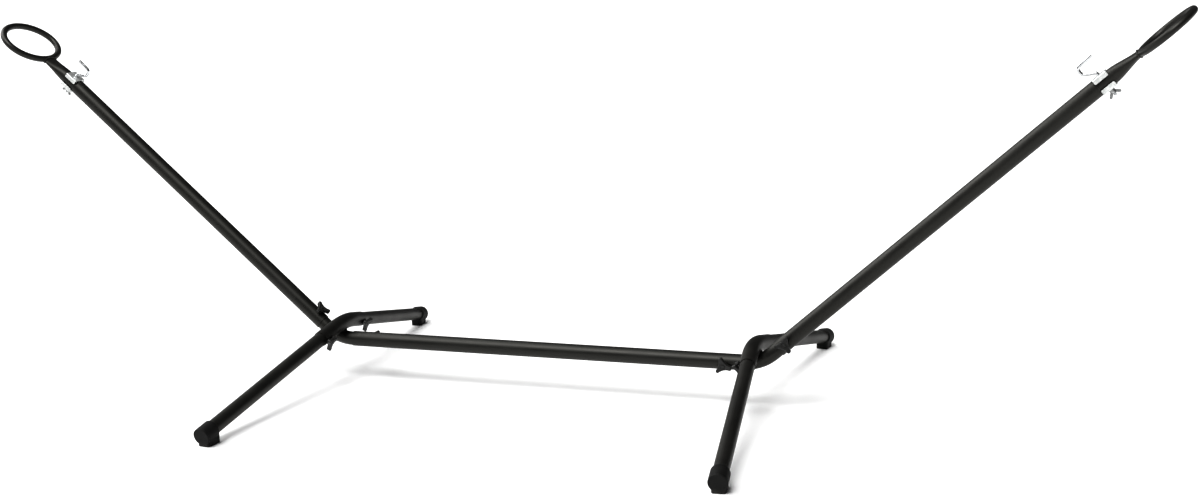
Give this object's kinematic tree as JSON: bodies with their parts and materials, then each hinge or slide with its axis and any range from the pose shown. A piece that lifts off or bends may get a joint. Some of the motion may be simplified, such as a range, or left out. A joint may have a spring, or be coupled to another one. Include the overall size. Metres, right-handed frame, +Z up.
{
  "type": "hammock stand",
  "caption": "Free-standing steel hammock stand with a straight spine, bent cross legs, two raised arms, clamping knobs, end rings and open hooks.",
  "frame": {"origin": "on the ground, midway between the four feet, under the middle of the spine", "axes": "+X along the spine to the right-hand end, +Y across to the rear legs, +Z up"},
  "size_m": [3.2522, 1.2672, 1.0161],
  "materials": {
    "black_powder_coat": "satin, finely textured powder coat",
    "knob_plastic": "matte moulded",
    "foot_rubber": "matte",
    "stud_steel": "zinc-plated thread",
    "zinc_sheet": "bright zinc plated",
    "washer_steel": "zinc plated",
    "hook_chrome": "polished",
    "wing_nut_zinc": "zinc plated"
  },
  "bodies": {
    "spine": {"spine_tube": "black_powder_coat", "spine_weld_nuts": "black_powder_coat"},
    "left_foot_frame": {"left_elbow": "black_powder_coat", "left_cross_tube": "black_powder_coat", "left_cross_weld": "black_powder_coat", "left_cross_weld_nuts": "black_powder_coat"},
    "spine_left_knob": {"spine_left_knob_head": "knob_plastic", "spine_left_knob_stud": "stud_steel"},
    "left_front_leg": {"left_front_leg": "black_powder_coat", "left_front_foot_cap": "foot_rubber"},
    "left_front_leg_knob": {"left_front_leg_knob_head": "knob_plastic", "left_front_leg_knob_stud": "stud_steel"},
    "left_rear_leg": {"left_rear_leg": "black_powder_coat", "left_rear_foot_cap": "foot_rubber"},
    "left_rear_leg_knob": {"left_rear_leg_knob_head": "knob_plastic", "left_rear_leg_knob_stud": "stud_steel"},
    "left_arm": {"left_arm_tube": "black_powder_coat", "left_arm_weld_nut": "black_powder_coat"},
    "left_arm_knob": {"left_arm_knob_head": "knob_plastic", "left_arm_knob_stud": "stud_steel"},
    "left_insert": {"left_insert_tube": "black_powder_coat", "left_ring": "black_powder_coat", "left_ring_weld": "black_powder_coat", "left_top_saddle": "zinc_sheet", "left_bottom_saddle": "zinc_sheet", "left_washer": "washer_steel"},
    "left_hook_bolt": {"left_hook": "hook_chrome"},
    "left_wing_nut": {"left_wing_nut": "wing_nut_zinc"},
    "right_foot_frame": {"right_elbow": "black_powder_coat", "right_cross_tube": "black_powder_coat", "right_cross_weld": "black_powder_coat", "right_cross_weld_nuts": "black_powder_coat"},
    "spine_right_knob": {"spine_right_knob_head": "knob_plastic", "spine_right_knob_stud": "stud_steel"},
    "right_front_leg": {"right_front_leg": "black_powder_coat", "right_front_foot_cap": "foot_rubber"},
    "right_front_leg_knob": {"right_front_leg_knob_head": "knob_plastic", "right_front_leg_knob_stud": "stud_steel"},
    "right_rear_leg": {"right_rear_leg": "black_powder_coat", "right_rear_foot_cap": "foot_rubber"},
    "right_rear_leg_knob": {"right_rear_leg_knob_head": "knob_plastic", "right_rear_leg_knob_stud": "stud_steel"},
    "right_arm": {"right_arm_tube": "black_powder_coat", "right_arm_weld_nut": "black_powder_coat"},
    "right_arm_knob": {"right_arm_knob_head": "knob_plastic", "right_arm_knob_stud": "stud_steel"},
    "right_insert": {"right_insert_tube": "black_powder_coat", "right_ring": "black_powder_coat", "right_ring_weld": "black_powder_coat", "right_top_saddle": "zinc_sheet", "right_bottom_saddle": "zinc_sheet", "right_washer": "washer_steel"},
    "right_hook_bolt": {"right_hook": "hook_chrome"},
    "right_wing_nut": {"right_wing_nut": "wing_nut_zinc"}
  },
  "joints": [
    {"name": "left_foot_frame_slide", "type": "slide", "parent": "spine", "child": "left_foot_frame", "axis": [-1, 0, 0], "range_m": [0, 0.1]},
    {"name": "spine_left_knob_turn", "type": "hinge", "parent": "spine", "child": "spine_left_knob", "pos_m": [-0.519, 0.024, 0.11826], "axis": [0, 1, 0], "continuous": true},
    {"name": "left_front_leg_slide", "type": "slide", "parent": "left_foot_frame", "child": "left_front_leg", "axis": [-0.1083, -0.969, -0.222], "range_m": [0, 0.04]},
    {"name": "left_front_leg_knob_turn", "type": "hinge", "parent": "left_foot_frame", "child": "left_front_leg_knob", "pos_m": [-0.58305, -0.10475, 0.13543], "axis": [0.8935, 0.003, -0.449], "continuous": true},
    {"name": "left_rear_leg_slide", "type": "slide", "parent": "left_foot_frame", "child": "left_rear_leg", "axis": [-0.1083, 0.969, -0.222], "range_m": [0, 0.04]},
    {"name": "left_rear_leg_knob_turn", "type": "hinge", "parent": "left_foot_frame", "child": "left_rear_leg_knob", "pos_m": [-0.58305, 0.10475, 0.13543], "axis": [0.8935, -0.003, -0.449], "continuous": true},
    {"name": "left_arm_slide", "type": "slide", "parent": "left_foot_frame", "child": "left_arm", "axis": [-0.749, 0, 0.6626], "range_m": [0, 0.12]},
    {"name": "left_arm_knob_turn", "type": "hinge", "parent": "left_arm", "child": "left_arm_knob", "pos_m": [-0.66431, 0, 0.19618], "axis": [0.6626, 0, 0.749], "continuous": true},
    {"name": "left_insert_slide", "type": "slide", "parent": "left_arm", "child": "left_insert", "axis": [-0.749, 0, 0.6626], "range_m": [0, 0.25]},
    {"name": "left_hook_swivel", "type": "hinge", "parent": "left_insert", "child": "left_hook_bolt", "pos_m": [-1.43254, 0, 0.8438], "axis": [0.6626, 0, 0.749], "continuous": true},
    {"name": "left_wing_nut_turn", "type": "hinge", "parent": "left_hook_bolt", "child": "left_wing_nut", "pos_m": [-1.44798, 0, 0.82635], "axis": [-0.6626, 0, -0.749], "continuous": true},
    {"name": "right_foot_frame_slide", "type": "slide", "parent": "spine", "child": "right_foot_frame", "axis": [1, 0, 0], "range_m": [0, 0.1]},
    {"name": "spine_right_knob_turn", "type": "hinge", "parent": "spine", "child": "spine_right_knob", "pos_m": [0.519, -0.02363, 0.11409], "axis": [0, -0.9848, -0.1736], "continuous": true},
    {"name": "right_front_leg_slide", "type": "slide", "parent": "right_foot_frame", "child": "right_front_leg", "axis": [0.1083, -0.969, -0.222], "range_m": [0, 0.04]},
    {"name": "right_front_leg_knob_turn", "type": "hinge", "parent": "right_foot_frame", "child": "right_front_leg_knob", "pos_m": [0.58305, -0.10475, 0.13543], "axis": [-0.8935, 0.003, -0.449], "continuous": true},
    {"name": "right_rear_leg_slide", "type": "slide", "parent": "right_foot_frame", "child": "right_rear_leg", "axis": [0.1083, 0.969, -0.222], "range_m": [0, 0.04]},
    {"name": "right_rear_leg_knob_turn", "type": "hinge", "parent": "right_foot_frame", "child": "right_rear_leg_knob", "pos_m": [0.58305, 0.10475, 0.13543], "axis": [-0.8935, -0.003, -0.449], "continuous": true},
    {"name": "right_arm_slide", "type": "slide", "parent": "right_foot_frame", "child": "right_arm", "axis": [0.749, 0, 0.6626], "range_m": [0, 0.12]},
    {"name": "right_arm_knob_turn", "type": "hinge", "parent": "right_arm", "child": "right_arm_knob", "pos_m": [0.68022, -0.024, 0.1782], "axis": [0, -1, 0], "continuous": true},
    {"name": "right_insert_slide", "type": "slide", "parent": "right_arm", "child": "right_insert", "axis": [0.749, 0, 0.6626], "range_m": [0, 0.25]},
    {"name": "right_hook_swivel", "type": "hinge", "parent": "right_insert", "child": "right_hook_bolt", "pos_m": [1.43254, 0, 0.8438], "axis": [-0.6626, 0, 0.749], "continuous": true},
    {"name": "right_wing_nut_turn", "type": "hinge", "parent": "right_hook_bolt", "child": "right_wing_nut", "pos_m": [1.44798, 0, 0.82635], "axis": [0.6626, 0, -0.749], "continuous": true}
  ]
}
